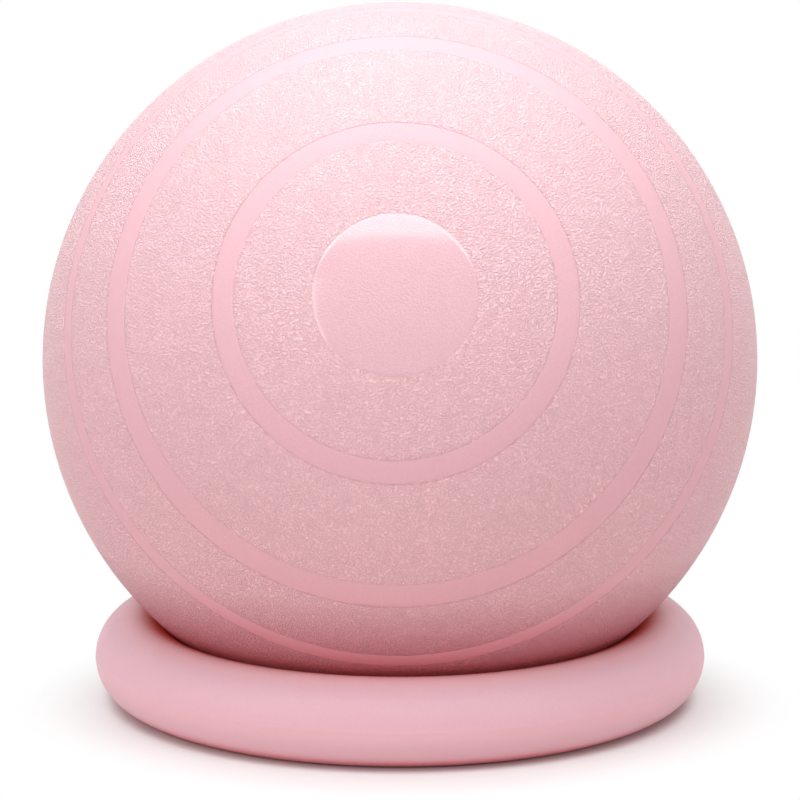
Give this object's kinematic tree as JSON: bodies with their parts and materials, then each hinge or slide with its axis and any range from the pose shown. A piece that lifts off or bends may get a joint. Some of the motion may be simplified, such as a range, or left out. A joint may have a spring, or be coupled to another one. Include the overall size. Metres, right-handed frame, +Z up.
{
  "type": "balance ball chair",
  "caption": "Inflated exercise ball seated in an inflated floor ring, used as a backless seat; each bladder has a welded valve seat and a push-in plug.",
  "frame": {"origin": "on the floor, under the ball's centre", "axes": "+Z up; the front, where the band pattern's middle shows, is -Y; +X is to the right seen from the front"},
  "size_m": [0.6492, 0.6498, 0.6392],
  "materials": {
    "ball_vinyl": "semi-matt pale pink vinyl, fine pebble grain between smooth bands",
    "ring_vinyl": "smooth semi-matt pale pink vinyl",
    "valve_vinyl": "smooth stiffer vinyl, moulded",
    "plug_vinyl": "off-white moulded soft plastic"
  },
  "bodies": {
    "ring": {"ring_skin": "ring_vinyl", "ring_valve_seat": "valve_vinyl"},
    "ball": {"ball_skin": "ball_vinyl", "ball_valve_seat": "valve_vinyl"},
    "ball_plug": {"ball_plug": "plug_vinyl"},
    "ring_plug": {"ring_plug": "plug_vinyl"}
  },
  "joints": [
    {"name": "ball_lift", "type": "slide", "parent": "ring", "child": "ball", "axis": [0, 0, 1], "range_m": [0, 0.12]},
    {"name": "ball_plug_pull", "type": "slide", "parent": "ball", "child": "ball_plug", "axis": [0.013, 0.929, -0.3697], "range_m": [0, 0.03]},
    {"name": "ring_plug_pull", "type": "slide", "parent": "ring", "child": "ring_plug", "axis": [0, 0.9063, 0.4226], "range_m": [0, 0.03]}
  ]
}
